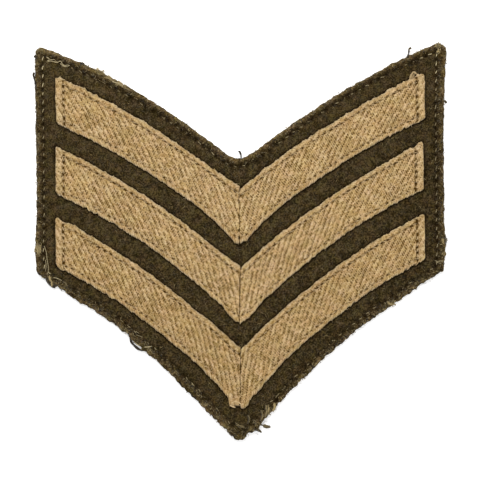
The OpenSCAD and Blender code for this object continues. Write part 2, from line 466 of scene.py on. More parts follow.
class Shader:
    """A node material under construction."""

    def __init__(self, name, roughness, sheen=0.0, gloss=0.25):
        self.material = bpy.data.materials.new(name)
        self.material.use_nodes = True
        self.tree = self.material.node_tree
        self.surface = self.tree.nodes["Principled BSDF"].inputs
        self.surface["Roughness"].default_value = roughness
        self.surface["Specular IOR Level"].default_value = gloss
        self.surface["Sheen Weight"].default_value = sheen
        self.surface["Sheen Roughness"].default_value = 0.5
        self.place = self.node("TexCoord").outputs["Object"]

    def node(self, kind, **settings):
        """A new node with these settings."""
        made = self.tree.nodes.new("ShaderNode" + kind)
        for key, value in settings.items():
            setattr(made, key, value)
        return made

    def feed(self, source, target):
        """Gives a socket a number, a colour or the value of another node."""
        if isinstance(source, (int, float)):
            target.default_value = source
        elif isinstance(source, tuple):
            target.default_value = (*source, 1)
        else:
            self.tree.links.new(source, target)

    def attribute(self, name):
        """Value that the mesh carries under a name."""
        return self.node("Attribute", attribute_name=name).outputs["Fac"]

    def noise(self, size, detail=3.0):
        """Noise from 0 to 1 with features of a size in millimetres."""
        node = self.node("TexNoise")
        self.feed(self.place, node.inputs["Vector"])
        self.feed(1 / (size * MM), node.inputs["Scale"])
        self.feed(detail, node.inputs["Detail"])
        return node.outputs["Fac"]

    def math(self, operation, *sources):
        """Result of an operation on numbers or sockets."""
        node = self.node("Math", operation=operation)
        for source, socket in zip(sources, node.inputs):
            self.feed(source, socket)
        return node.outputs[0]

    def mixed(self, base, *parts):
        """Base plus each source times its weight."""
        total = base
        for source, weight in parts:
            total = self.math("MULTIPLY_ADD", source, weight, total)
        return total

    def ramp(self, value, *stops):
        """Colour between those of the stops, by a value."""
        node = self.node("ValToRGB")
        elements = node.color_ramp.elements
        while len(elements) < len(stops):
            elements.new(0.5)
        for element, (position, colour) in zip(elements, stops):
            element.position = position
            element.color = (*colour, 1)
        self.feed(value, node.inputs["Fac"])
        return node.outputs["Color"]

    def blend(self, share, first, second, kind="MIX"):
        """The first colour with a share of the second."""
        node = self.node("Mix", data_type="RGBA", blend_type=kind)
        self.feed(share, node.inputs["Factor"])
        self.feed(first, node.inputs[6])
        self.feed(second, node.inputs[7])
        return node.outputs[2]

    def tinted(self, colour, size, first, second):
        """The colour, shifted between two tints in patches of a size in millimetres."""
        tint = self.ramp(self.noise(size, 2), (0.3, first), (0.7, second))
        return self.blend(1.0, colour, tint, "MULTIPLY")

    def bump(self, height, depth):
        """Fine relief, with a depth in millimetres."""
        node = self.node("Bump")
        self.feed(0.6, node.inputs["Strength"])
        self.feed(depth * MM, node.inputs["Distance"])
        self.feed(height, node.inputs["Height"])
        self.feed(node.outputs["Normal"], self.surface["Normal"])

    def colour(self, source):
        """The finished material, of this colour."""
        self.feed(source, self.surface["Base Color"])
        return self.material


def wool_material():
    """Dark khaki felted wool, mottled, paler and browner where the edge is rubbed, and nearly black
    where shade is painted on it.
    """
    s = Shader("wool_cloth", roughness=0.95, gloss=0.02)
    grain = s.mixed(
        -0.495, (s.noise(2.2, 2), 0.50), (s.noise(0.42, 1), 1.5), (s.attribute("tone"), 0.13))
    cloth = s.ramp(
        grain,
        (0.2, (0.0092, 0.0063, 0.0018)),
        (0.5, (0.0300, 0.0208, 0.0080)),
        (0.8, (0.0680, 0.0490, 0.0200)),
    )
    rubbed = s.ramp(
        grain,
        (0.2, (0.030, 0.019, 0.007)),
        (0.55, (0.096, 0.068, 0.027)),
        (0.9, (0.21, 0.160, 0.075)),
    )
    colour = s.blend(s.attribute("edge"), cloth, rubbed)
    colour = s.tinted(colour, 2.8, (1.07, 0.98, 0.97), (0.95, 1.03, 0.98))
    colour = s.tinted(colour, 2.1, (1.0, 1.0, 1.30), (1.02, 1.0, 0.82))
    # Painted shade from the mesh darkens the cloth towards near black
    colour = s.blend(s.math("MULTIPLY", s.attribute("pit"), 0.9), colour, (0.006, 0.0028, 0.0006))
    s.bump(s.mixed(0.0, (s.noise(0.3), 1.0), (s.noise(0.12), 0.5)), 0.09)
    return s.colour(colour)


def tape_material():
    """Tan worsted yarn, greyer where it is worn, with shade painted dark into the hollows between the
    yarns, the stitch holes and the seam.
    """
    s = Shader("worsted_tape", roughness=0.9, gloss=0.03)
    patches = [(s.noise(7, 3), 0.16), (s.noise(1.7, 2), 0.22), (s.noise(0.33, 1), 1.0)]
    shade = s.mixed(-0.135, (s.attribute("tone"), 0.19), *patches)
    yarn = s.ramp(
        shade,
        (0.2, (0.24, 0.148, 0.050)),
        (0.5, (0.400, 0.267, 0.116)),
        (0.85, (0.56, 0.405, 0.22)),
    )
    grey = s.ramp(shade, (0.2, (0.29, 0.212, 0.110)), (0.7, (0.51, 0.410, 0.250)))
    colour = s.blend(s.math("MULTIPLY", s.attribute("worn"), 0.9), yarn, grey)
    colour = s.tinted(colour, 3.2, (1.02, 0.99, 0.98), (0.975, 1.025, 0.98))
    colour = s.tinted(colour, 2.4, (1.0, 1.0, 1.14), (1.01, 1.0, 0.96))
    # Painted shade: the hollows, holes, gaps and seam that the mesh marks are darkened towards near
    # black
    colour = s.blend(s.attribute("pit"), colour, (0.062, 0.030, 0.003))
    s.bump(s.mixed(0.0, (s.noise(0.2), 1.0), (s.noise(0.09), 0.6)), 0.06)
    return s.colour(colour)


def thread_material(name, dark, pale):
    """Thread or loose fibre, whose tone runs from dark to pale."""
    s = Shader(name, roughness=0.8, sheen=0.1)
    shade = s.mixed(0.35, (s.attribute("tone"), 0.5), (s.noise(0.3), 0.3))
    s.bump(s.noise(0.1), 0.03)
    return s.colour(s.ramp(shade, (0.1, dark), (0.9, pale)))


# The backing

# Middles and directions of the stitches round the edge, and the holes between them
STITCHES, STITCH_HEADINGS = evenly(EDGE_STITCH_INSET, EDGE_STITCH_PITCH)
STITCH_AHEAD = np.c_[np.cos(STITCH_HEADINGS), np.sin(STITCH_HEADINGS)]
HOLES = STITCHES + STITCH_AHEAD * EDGE_STITCH_PITCH / 2
EDGE_LINE = outline(0, 0.25)


def inside_outline(x, y):
    """Whether places are inside the even outline."""
    x = np.abs(x)
    under_notch = np.hypot(x - NOTCH_CENTRE[0], y - NOTCH_CENTRE[1]) < NOTCH_BEND_R
    over_foot = np.hypot(x - FOOT_CENTRE[0], y - FOOT_CENTRE[1]) > FOOT_BEND_R
    return (x < HALF_W) & under_notch & over_foot


def inset_at(x, y):
    """Distance of places inside the even outline, negative beyond it."""
    return nearest(x, y, EDGE_LINE) * np.where(inside_outline(x, y), 1, -1)


def drawn(shift, distance):
    """How far a place at a distance from an edge moves with that edge's shift."""
    return (shift - EDGE_FUZZ) * np.exp(-np.abs(distance) / EDGE_DEPTH)


def settled(x, y):
    """Where places near the even outline lie on the real, crooked one."""
    out_x = np.abs(x)
    flip = np.where(x < 0, -1, 1)
    lean = np.clip(out_x / CENTRE_FADE, 0, 1) * flip
    notch_x, notch_y = NOTCH_CENTRE[0] - out_x, NOTCH_CENTRE[1] - y
    notch_r = np.hypot(notch_x, notch_y)
    notch = drawn(np.interp(x, NOTCH_X, NOTCH_SHIFT), NOTCH_BEND_R - notch_r)
    foot_x, foot_y = out_x - FOOT_CENTRE[0], y - FOOT_CENTRE[1]
    foot_r = np.hypot(foot_x, foot_y)
    left = np.interp(-x, LEFT_FOOT_X, LEFT_FOOT_SHIFT)
    right = np.interp(x, RIGHT_FOOT_X, RIGHT_FOOT_SHIFT)
    foot = drawn(left + (right - left) * step(x, -0.4, 1.6), foot_r - FOOT_BEND_R)
    side = np.where(x < 0, np.interp(y, SIDE_Y, LEFT_SHIFT), np.interp(y, SIDE_Y, RIGHT_SHIFT))
    side = drawn(side, HALF_W - out_x)
    dx = lean * (notch * notch_x / notch_r + foot * foot_x / foot_r) - flip * side
    dy = notch * notch_y / notch_r + foot * foot_y / foot_r
    return x + dx, y + dy


def fray(x, y, seed):
    """Sideways wandering of a worn edge."""
    return 0.15 * noise(x, y, 1.6, seed) + 0.26 * noise(x, y, 0.8, seed + 1)


def ragged(x, y, inset):
    """Where places lie once the edge is worn, which is rougher along the foot."""
    reach = np.exp(-inset / 1.1) * (0.75 + 0.6 * step(y, -5, -25))
    return settled(x + reach * fray(x, y, 21), y + reach * fray(x, y, 23))


def lumps(x, y, inset):
    """Unevenness of the milled wool, which is curlier towards the edge."""
    fine = 0.07 * noise(x, y, 1.1, 32) + 0.05 * noise(x, y, 0.55, 33)
    rim = 0.12 * noise(x, y, 0.95, 34) + 0.06 * noise(x, y, 0.5, 35)
    return 0.07 * noise(x, y, 3.1, 31) + fine + rim * np.exp(-((inset / 2.2) ** 4))


def rim_share(inset):
    """Share of its full height that the turned edge has at an inset."""
    return np.sqrt(1 - (1 - np.clip(inset / CLOTH_T, 0, 1)) ** 2)


def face_height(x, y, inset):
    """Height of the front of the cloth."""
    gap = tape_gap(x, y)
    free = step(gap, -0.2, 0.8)
    groove = 0.38 * hump(inset - EDGE_STITCH_INSET, 0.5)
    holes = 0.45 * hump(nearest(x, y, HOLES), 0.42)
    pressed = 0.14 * (1 - free) + 0.12 * hump(gap - 0.15, 0.4)
    puff = 0.10 * hump(inset - 1.15, 0.7)
    rise = CLOTH_T * rim_share(inset)
    roughness = lumps(x, y, inset) * free * rim_share(inset)
    return CLOTH_T + rise + puff - groove - holes - pressed + roughness


# Folds of the hem on the back, from the corners inwards: mitres, and the snipped bottom of the notch
LOW_CORNER_Y = -11.8
NOTCH_BOTTOM_Y = 27
Crease = namedtuple("Crease", "x y heading spread")
CREASES = [
    Crease(HALF_W, HALF_H, math.radians(235.5), 0),
    Crease(-HALF_W, HALF_H, math.radians(304.5), 0),
    Crease(HALF_W, LOW_CORNER_Y, math.radians(150), 0),
    Crease(-HALF_W, LOW_CORNER_Y, math.radians(30), 0),
    Crease(0, -HALF_H, math.radians(90), 0),
    Crease(0, NOTCH_BOTTOM_Y, math.radians(-90), 0.12),
]


def back_height(x, y, inset):
    """Height of the back of the cloth, with the hem on it lying on the surface."""
    rise = CLOTH_T * (1 - rim_share(inset))
    hem_edge = HEM_W + 0.35 * noise(x, y, 5, 41) + 0.12 * noise(x, y, 0.9, 42)
    inner = step(inset, hem_edge - 0.12, hem_edge + 0.12) * (CLOTH_T - 0.12)
    bumps = 0.05 + 0.05 * noise(x, y, 1.4, 43) + 0.03 * noise(x, y, 0.6, 44)
    groove = 0.22 * hump(inset - EDGE_STITCH_INSET, 0.4)
    creases = 0
    for crease in CREASES:
        dx, dy = x - crease.x, y - crease.y
        off = np.abs(dx * math.sin(crease.heading) - dy * math.cos(crease.heading))
        out = dx * math.cos(crease.heading) + dy * math.sin(crease.heading)
        open_by = 0.16 + crease.spread * np.maximum(out, 0)
        creases = creases + hump(off, open_by) * step(out, 0.5, 1.5) * step(out, 14, 12)
    in_hem = rim_share(inset) * step(inset, hem_edge, hem_edge - 0.2)
    return rise + inner + (bumps + groove + 0.5 * creases * in_hem) * rim_share(inset)


def lattice(spacing, low_inset, low_gap, high_gap, seed):
    """Uneven three-way lattice of places on the backing, with the inset of each.

    The places are those deep enough inside the edge and between two distances from the tapes."""
    rng = np.random.default_rng(seed)
    rows = np.arange(-HALF_H, HALF_H, spacing * math.sqrt(3) / 2)
    columns = np.arange(-HALF_W, HALF_W, spacing)
    x, y = np.meshgrid(columns, rows)
    x = x + (np.arange(len(rows)) % 2)[:, None] * spacing / 2
    x, y = x.ravel(), y.ravel()
    x = x + rng.uniform(-0.28, 0.28, len(x)) * spacing
    y = y + rng.uniform(-0.28, 0.28, len(y)) * spacing
    gap = tape_gap(x, y)
    chosen = (gap > low_gap) & (gap < high_gap)
    x, y = x[chosen], y[chosen]
    inset = inset_at(x, y)
    return np.c_[x, y, inset][inset > low_inset]


def ring_set(insets, spacing):
    """Rings of places at several insets."""
    rings = [outline(inset, spacing) for inset in insets]
    return np.vstack([np.c_[ring, np.full(len(ring), inset)] for ring, inset in zip(rings, insets)])


def filled(rim, inside):
    """Places and triangles that fill the rim, using the places inside it."""
    places = np.vstack([rim, inside])
    edges = [(i, (i + 1) % len(rim)) for i in range(len(rim))]
    flat = [Vector(place[:2]) for place in places]
    points, _, triangles = delaunay_2d_cdt(flat, edges, [list(range(len(rim)))], 1, 1e-6)[:3]
    assert len(points) == len(places), "two places of the cloth fell on each other"
    return places, np.array([list(triangle) for triangle in triangles])


def flat_cloth_area():
    """Area of the cloth in square metres, with its hem unfolded."""
    x, y = outline(0, 0.5).T
    next_x, next_y = np.roll(x, -1), np.roll(y, -1)
    face = 0.5 * abs(np.sum(x * next_y - next_x * y))
    edge_length = np.hypot(next_x - x, next_y - y).sum()
    return float(face + HEM_W * edge_length) * MM * MM


def cloth_layers():
    """Places of the cloth, how many of them are its front's, and its faces.

    The front and the back share one ring of places round the edge."""
    rim = ring_set([0], 0.3)
    rim_insets = [0.03, 0.1, 0.24, 0.45, 0.75, 1.1, 1.5, 1.95, 2.25, 2.5, 2.75, 3.05]
    front_rings = ring_set(rim_insets, 0.32)
    free_face = lattice(0.37, 3.25, -0.5, np.inf, 51)
    under_tapes = lattice(1.6, 3.25, -np.inf, -1.2, 52)
    front, front_faces = filled(rim, np.vstack([front_rings, free_face, under_tapes]))
    hem_rings = ring_set([0.03, 0.12, 0.3, 0.6, 1.0, 1.7, 2.2, 2.5, 2.8, 3.5, 4.6, 5.6], 0.6)
    hem_edge_rings = ring_set([6.4, 6.65, 6.85, 7.0, 7.15, 7.35, 7.6], 0.5)
    middle = lattice(1.0, 8.0, -np.inf, np.inf, 53)
    back, back_faces = filled(rim, np.vstack([hem_rings, hem_edge_rings, middle]))
    beyond_rim = len(front) - len(rim)
    back_faces = np.where(back_faces >= len(rim), back_faces + beyond_rim, back_faces)
    return np.vstack([front, back[len(rim):]]), len(front), [front_faces, back_faces[:, ::-1]]


def cloth_wear_and_shade(x, y, inset, is_front):
    """The cloth's tone, how rubbed its edge is, and the shade painted beside the tapes, in the
    stitching and in pits on the rim.
    """
    foot = step(y, -5, -14)
    notch_slopes = step(y, 20, 26) * step(np.abs(x), 60, 56)
    # Painted shadow on the felt along the tapes' edges
    painted_tape_shadow = 0.75 * hump(np.maximum(tape_gap(x, y), 0), 0.40 + 0.1 * noise(x, y, 1.3, 57))
    # Painted shade in the stitch holes and along the stitch groove
    holes = (1 - 0.4 * foot) * hump(nearest(x, y, HOLES), 0.52)
    stitch_line = (0.5 - 0.3 * foot) * hump(inset - EDGE_STITCH_INSET, 0.32)
    # Painted shade: dark pits scattered at random over the rim, stronger along the foot, and on the
    # notch slopes a dark band between the pale rim and the stitching
    rim_pit_shade = np.clip(1.9 * noise(x, y, 0.85, 59) - 0.25, 0, 1) * step(inset, 2.8, 2.0)
    notch_groove_shade = notch_slopes * hump(inset - 1.75, 0.45) * (0.42 + 0.6 * noise(x, y, 0.9, 60))
    rim_pit_shade = np.maximum((0.45 + 0.45 * foot) * rim_pit_shade, notch_groove_shade)
    front_shade = np.where(is_front, np.maximum(painted_tape_shadow, rim_pit_shade), 0)
    pit = np.maximum(front_shade, np.maximum(holes, stitch_line))
    mottle = 0.65 + 0.4 * noise(x, y, 6, 54) + 0.7 * noise(x, y, 0.9, 58)
    edge = step(inset, 1.9, 0.3) * mottle
    edge = edge + notch_slopes * 0.5 * step(inset, 1.1, 0.3)
    foot_patches = 0.35 * foot * np.clip(noise(x, y, 1.0, 69), 0, 1) + 0.18 * step(y, -48, -56)
    edge = edge + foot_patches * step(inset, 3, 2)
    number = np.arange(len(x))
    # The felt is painted lighter towards the top, standing in for light that falls off towards the
    # bottom, and is darker towards the right side
    tone = noise(x, y, 1.2, 55) + picked(number, number // 256, 56) + 0.25 * y / HALF_H
    tone = tone - 0.4 * step(x, 35, 60)
    return {"tone": tone, "edge": edge, "pit": pit}


def backing_cloth(material):
    """The felt, with its turned edge and the hem on its back."""
    places, front_count, faces = cloth_layers()
    x, y, inset = places.T
    is_front = np.arange(len(places)) < front_count
    z = np.where(is_front, face_height(x, y, inset), back_height(x, y, inset))
    points = np.c_[(*ragged(x, y, inset), z + lay(x, y))]
    wear_and_shade = cloth_wear_and_shade(x, y, inset, is_front)
    made = piece("backing_cloth", points, faces, wear_and_shade, material)
    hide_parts("backing")
    flat_cloth_area()


# The tapes

END_CORNER_R = 1.1
BAND_STRAND_PITCH = 0.95
# How far along a tape the unevenness of its seam edge and of its folded end reaches
SEAM_FADE = 4
END_FADE = 6

# Points of a tape: columns along it, closer together at both ends, and rows round its section, with
# their place across it, the same unrolled, height, outward direction and whether the weave is there
SEAM_ROUND = 0.32
COLUMN_X = np.r_[
    0, 0.04, 0.1, 0.2, SEAM_ROUND,
    np.arange(0.45, REACH - 0.6, 0.142),
    REACH - np.array([0.55, 0.4, 0.28, 0.18, 0.1, 0.04, 0]),
]
FACE_ROWS = 84
Section = namedtuple("Section", "v wound_v z out_v out_z woven")


def yarn_height(passing, off, size):
    """Height of a yarn that is passing over or under the others, at a distance off its middle."""
    crown = np.sqrt(1 - YARN_ROUND * (2 * off) ** 2)
    return YARN_RISE * np.cos(math.pi / 2 * passing) + YARN_R * size * crown


def hollows(u, v, pick, end, seed):
    """Depth of the dark hollows at the corners between the yarns."""
    low_end, low_pick = np.floor(end), np.floor(pick)
    across_rib = (low_end - low_pick).astype(int) % TWILL_REPEAT
    depth = HOLLOWS[across_rib] * (1.0 + 0.9 * picked(low_end, low_pick, seed + 9))
    depth = np.clip(depth * (1 + 0.35 * noise(u, v, 2.3, seed + 15)), 0, 1.5)
    du, dv = (pick - low_pick - 0.5) * PICK_SPACING, (end - low_end - 0.5) * END_SPACING
    along, beside = du * RIB_COS + dv * RIB_SIN, dv * RIB_COS - du * RIB_SIN
    return hump(along, 0.22) * hump(beside, 0.20) * depth


def twill(u, v, seed):
    """Height, tone and hollows of a two-over-two twill at places along and across the tape."""
    u = u + 0.20 * noise(u, v, 5.3, seed) + 0.11 * noise(u, v, 1.3, seed + 1)
    v = v + 0.14 * noise(u, v, 4.7, seed + 2) + 0.07 * noise(u, v, 1.2, seed + 3)
    pick, end = u / PICK_SPACING, v / END_SPACING
    near_end, near_pick = np.round(end), np.round(pick)
    end_passing = near_end - pick - 0.5
    pick_passing = end - near_pick - 2.5
    end_float = np.round(end_passing / TWILL_REPEAT)
    pick_float = np.round(pick_passing / TWILL_REPEAT)
    end_size = 1 + YARN_UNEVEN * picked(near_end, end_float, seed)
    pick_size = 1 + YARN_UNEVEN * picked(near_pick, pick_float, seed + 4)
    end_top = yarn_height(end_passing, end - near_end, end_size)
    pick_top = yarn_height(pick_passing, pick - near_pick, pick_size) - PICK_SINK
    on_end = end_top > pick_top
    end_tone = picked(near_end, end_float, seed + 5) + 0.2
    pick_tone = picked(near_pick, pick_float, seed + 6) - 0.3
    hollow = hollows(u, v, pick, end, seed)
    height = np.where(on_end, end_top, pick_top) - YARN_R
    return height - HOLLOW_DEPTH * hollow, np.where(on_end, end_tone, pick_tone), hollow


def hole_places(numbers, pitch, seed):
    """Places along a row of the holes with these numbers."""
    return (numbers + 0.14 * picked(numbers, 3, seed)) * pitch


def seam_line(u, edge_in, row, seed):
    """Groove and holes that a row of stitching pulls into the tape, and the shade painted into them.
    """
    off = edge_in - row.inset
    near = np.round(u / row.pitch)
    shift = u - hole_places(near, row.pitch, seed)
    size = 1.0 + 0.45 * picked(near, 5, seed)
    across = off + 0.1 * picked(near, 7, seed)
    holes = hump(shift, row.hole_length) * hump(across, row.hole_width) * size
    line = row.line * hump(off, 0.2) * (0.7 + 0.6 * noise(u, off, 1.1, seed))
    return 0.24 * hump(off, 0.42) + 0.45 * holes, np.maximum(holes, line)


def tape_relief(u, v, y, end_in, lower_start, seed):
    """Height above the tape's flat top, tone and painted shade at places on its face."""
    weave, tone, hollow = twill(u, v, seed)
    low_line, low_holes = seam_line(u, v + TAPE_W / 2, LOWER_ROW, seed + 7)
    high_line, high_holes = seam_line(u, TAPE_W / 2 - v, UPPER_ROW, seed + 8)
    end_line, end_holes = seam_line(y, end_in, END_ROW, seed + 9)
    # Both rows along the edges stop at the row across the end, and the lower starts past the cut
    sewn = step(end_in, END_ROW.inset - 0.4, END_ROW.inset)
    started = step(u, lower_start - 1, lower_start)
    pull = sewn * low_line * started + sewn * high_line + end_line
    holes = np.clip(sewn * low_holes * started + sewn * high_holes + 1.5 * end_holes, 0, 1)
    # Slanting strands cover the band along each edge
    band = step(TAPE_W / 2 - np.abs(v), 1.3, 0.7)
    calm = np.maximum(0.8 * band, 0.45 * step(end_in, 2.1, 1.5))
    turns = 2 * math.pi * (u + 0.9 * np.abs(v)) / BAND_STRAND_PITCH
    strands = np.cos(turns + 1.5 * noise(u, v, 1.6, seed + 11))
    cushion = 0.035 * noise(u, v, 2.2, seed + 10)
    cushion = cushion + band * (0.13 * strands + 0.13 * noise(u, v, 0.9, seed + 12))
    puff = -0.06 * band * np.cos(2 * math.pi * u / TAPE_STITCH_PITCH)
    height = weave * (1 - 0.35 * band) + cushion + puff - pull - 0.08 * band
    # Shade is painted into the gaps between the slanting strands, the hollows of the weave and the
    # stitch holes
    gaps = band * np.clip(-strands, 0, 1) ** 2 * (0.5 + 0.45 * noise(u, v, 0.8, seed + 13))
    pit = np.clip(np.maximum(np.maximum(1.3 * hollow * (1 - calm), gaps), 1.15 * holes), 0, 1)
    return height, tone, pit


def tape_seed(chevron, side):
    """First of the seeds that only this tape uses."""
    return 100 + 40 * CHEVRONS.index(chevron) + 20 * (side > 0)


def tape_end(chevron, side, y, edge_in):
    """How far past its even reach the folded end lies at a height, with its rounded corners."""
    wobble = 0.18 * noise(y, side * 9 + chevron.seam_y, 3.2, 61) + 0.10 * noise(y, side * 5, 0.9, 62)
    cut_in = np.clip(END_CORNER_R - edge_in, 0, END_CORNER_R)
    corner = END_CORNER_R - np.sqrt(END_CORNER_R ** 2 - cut_in ** 2)
    return STRAYS[chevron.name, side].end + wobble - corner


def gape(y):
    """How far the centre seam gapes at a height, from 0 to 1, most where its stitches pull."""
    stitch = y / TAPE_STITCH_PITCH + 0.25 * noise(y, 1, 4, 66)
    pulled = hump(stitch - np.round(stitch), 0.16)
    return np.clip(1.1 * pulled + 0.7 * noise(y, 1, 0.8, 63) + 0.2 * noise(y, 1, 3, 65), 0, 1)


def seam_edge(side, y):
    """How far out from the centre line the tape's edge lies along the seam."""
    clear = 0.015 + 0.19 * gape(y) + 0.01 * (1 + noise(y, side * 3, 0.6, 64))
    return clear + side * np.interp(y, SEAM_Y, SEAM_SHIFT)


def round_tape(lower, face, upper, under):
    """Values of the rows round a tape: up its lower edge, over, down its upper edge and under it."""
    return np.r_[lower, np.full(FACE_ROWS, face), upper[::-1], np.full(2, under)]


def tape_section():
    """Where the rows of points run round a tape with rolled edges."""
    turn = np.radians([-90, -55, -25, 5, 35, 65])
    flat_half = TAPE_W / 2 - ROLL_R
    over = flat_half * (2 * np.linspace(0, 1, FACE_ROWS) - 1)
    under = flat_half * np.array([0.4, -0.4])
    rolled = flat_half + ROLL_R * np.cos(turn)
    unrolled = flat_half + ROLL_R * (math.pi / 2 - turn)
    rise = ROLL_R * (1 + np.sin(turn))
    woven = np.where(np.sin(turn) > -0.2, 1, 0)
    return Section(
        v=round_tape(-rolled, over, rolled, under),
        wound_v=round_tape(-unrolled, over, unrolled, under),
        z=round_tape(rise, BAND_T, rise, 0),
        out_v=round_tape(-np.cos(turn), 0, np.cos(turn), 0),
        out_z=round_tape(np.sin(turn), 1, np.sin(turn), 0),
        woven=round_tape(woven, 1, woven, 0),
    )


def tape_strip(chevron, side, material):
    """One length of tape, from the centre seam to its folded end."""
    seed = tape_seed(chevron, side)
    row = tape_section()
    centre = bend_centre(chevron)
    arc_r = chevron.bend_r + row.v
    seam_x = seam_edge(side, crossing_y(centre, arc_r, 0))
    end_y = crossing_y(centre, arc_r, REACH)
    past = tape_end(chevron, side, end_y, TAPE_W / 2 - np.abs(row.v))
    x = COLUMN_X[:, None]
    from_seam, from_end = x / SEAM_FADE, (x - REACH) / END_FADE
    x = x + seam_x * np.clip(1 - from_seam, 0, 1) + past * np.clip(from_end + 1, 0, 1)
    even_y = crossing_y(centre, arc_r, x)
    y = even_y + stray(chevron, side, x, (row.v + TAPE_W / 2) / TAPE_W)
    u = along_tape(chevron, x, even_y)[0]
    end_in = REACH + past - x
    lower_start = POINT_CUT_X[side] + 1 if chevron.name == "bottom" else -REACH
    relief, tone, pit = tape_relief(u, row.wound_v, y, end_in, lower_start, seed)
    relief = relief * row.woven
    edge_in = TAPE_W / 2 - np.abs(row.wound_v)
    raised = np.where(row.out_z == 1, TAPE_T - BAND_T, 0) * step(edge_in, 0.6, 1.6)
    height = row.z + raised + row.out_z * relief
    y = y + row.out_v * relief
    # The folded end and the seam edge round off to a closed lip
    opened = gape(y)
    end_round = 1 - np.clip(end_in / ROLL_R, 0, 1)
    seam_round = 1 - np.clip((x - seam_x) / SEAM_ROUND, 0, 1)
    seam_fall = 0.1 + 0.35 * opened
    thick = np.sqrt(1 - 0.97 * end_round ** 2) * np.sqrt(1 - seam_fall * seam_round ** 2)
    height = ROLL_R + (height - ROLL_R) * thick
    points = np.stack([side * x, y, TAPE_Z + height + lay(side * x, y)], axis=-1).reshape(-1, 3)
    faces = tube_faces(1, *x.shape)
    if side == RIGHT:
        faces = [group[:, ::-1] for group in faces]
    # Painted shade along the centre seam, darkest where it gapes
    seam_shade = hump(x - seam_x, 0.17) * (0.06 + 0.94 * opened)
    worn = step(np.minimum(edge_in, end_in + 0.2), 0.7, 0.1)
    worn = worn * (0.55 + 0.35 * noise(x, y, 1.3, seed + 14))
    worn = np.maximum(worn, 0.2 * step(end_in, 2.3, 1.9))
    # The bottom chevron's tapes are made a little darker than the others
    bottom_darkening = 0.25 if chevron.name == "bottom" else 0
    values = {"tone": tone - bottom_darkening, "pit": np.maximum(pit * row.woven, seam_shade), "worn": worn}
    name = f"{chevron.name}_{SIDE_NAMES[side]}"
    made = piece(f"{name}_tape", points, faces, values, material)
    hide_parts(f"{name}_bar")


# Stitching


def stitch_paths(middles, headings, seed, half_length, top, dive, side_shift, rings=7):
    """A low arch of thread for each stitch, diving into the cloth at both ends."""
    rng = np.random.default_rng(seed)
    t = np.linspace(-1, 1, rings)
    headings = headings + rng.normal(0, 0.10, len(headings))
    lengths = half_length * rng.uniform(0.85, 1.1, len(headings))
    sideways = side_shift * rng.uniform(-1, 1, len(headings))
    reach = lengths[:, None] * t
    x = middles[:, :1] + np.cos(headings)[:, None] * reach - (np.sin(headings) * sideways)[:, None]
    y = middles[:, 1:] + np.sin(headings)[:, None] * reach + (np.cos(headings) * sideways)[:, None]
    z = np.broadcast_to(np.asarray(top)[..., None], x.shape) - dive * np.abs(t) ** 3
    return np.stack([x, y, z + lay(x, y)], axis=-1)


def plied(paths, radius, twist, seed):
    """Two strands wound round each other along each path."""
    phase = np.random.default_rng(seed).uniform(0, 2 * math.pi, len(paths))
    turn = phase[:, None] + np.linspace(0, twist, paths.shape[1])
    flat = level_normal(np.gradient(paths, axis=1))
    upright = np.array([0, 0, 1])
    off = (flat * np.cos(turn)[..., None] + upright * np.sin(turn)[..., None]) * radius * 0.9
    return np.concatenate([paths + off, paths - off])


def threads(paths, radius, sides, tone, seed):
    """Tubes for thread of an even radius, whose tone varies a little from stitch to stitch."""
    tones = tone + 0.3 * np.random.default_rng(seed).uniform(-1, 1, len(paths))
    return tubes(paths, np.full(paths.shape[:2], radius), sides, tones)


def edge_stitching(material):
    """The pale row round the turned edge, on the face and on the hem."""
    rng = np.random.default_rng(71)
    x, y = settled(*STITCHES.T)
    upright = step(np.abs(x), 58, 60)
    corner = hump(np.hypot(np.abs(x) - 60, y - 55), 9) * (0.4 + 0.6 * upright)
    corner = corner + 0.5 * hump(np.hypot(np.abs(x) - 60, y + 8), 8) * upright
    top = RIM_T - 0.27 - (0.05 + 0.25 * (1 - upright) * (1 - corner)) * rng.uniform(0, 1, len(x))
    hidden = step(x, -25, -32) * step(y, 30, 40) * (1 - upright)
    tone = -0.5 + upright * np.where(x > 0, -0.15, 0.05) + 1.1 * corner - 0.3 * hidden
    face = stitch_paths(
        np.c_[x, y], STITCH_HEADINGS - 0.28, 72,
        half_length=0.85, top=top, dive=0.5, side_shift=0.1, rings=11)
    back = stitch_paths(
        np.c_[settled(*HOLES.T)], STITCH_HEADINGS, 73,
        half_length=0.95, top=0.16, dive=-0.4, side_shift=0.06)
    parts = [
        threads(plied(face, 0.08, 3 * math.pi, 74), 0.085, 5, np.tile(tone, 2), 75),
        threads(back, 0.13, 5, 0.5, 76),
    ]
    strand_piece("edge_stitching", parts, material)


def on_tape(chevron, side, u, v):
    """Place on a tape, as x, y and the direction in which the tape runs outwards there."""
    centre = bend_centre(chevron)
    angle = math.pi / 2 + chevron.slope - u / chevron.bend_r
    x = centre[0] + (chevron.bend_r + v) * np.cos(angle)
    y = centre[1] + (chevron.bend_r + v) * np.sin(angle)
    y = y + stray(chevron, side, x, v / TAPE_W + 0.5)
    heading = angle - math.pi / 2
    return side * x, y, heading if side == RIGHT else math.pi - heading


def stitch_middles(numbers, pitch, seed):
    """Places along a row of the stitches between the holes with these numbers."""
    holes = hole_places(numbers, pitch, seed)
    return (holes[1:] + holes[:-1]) / 2


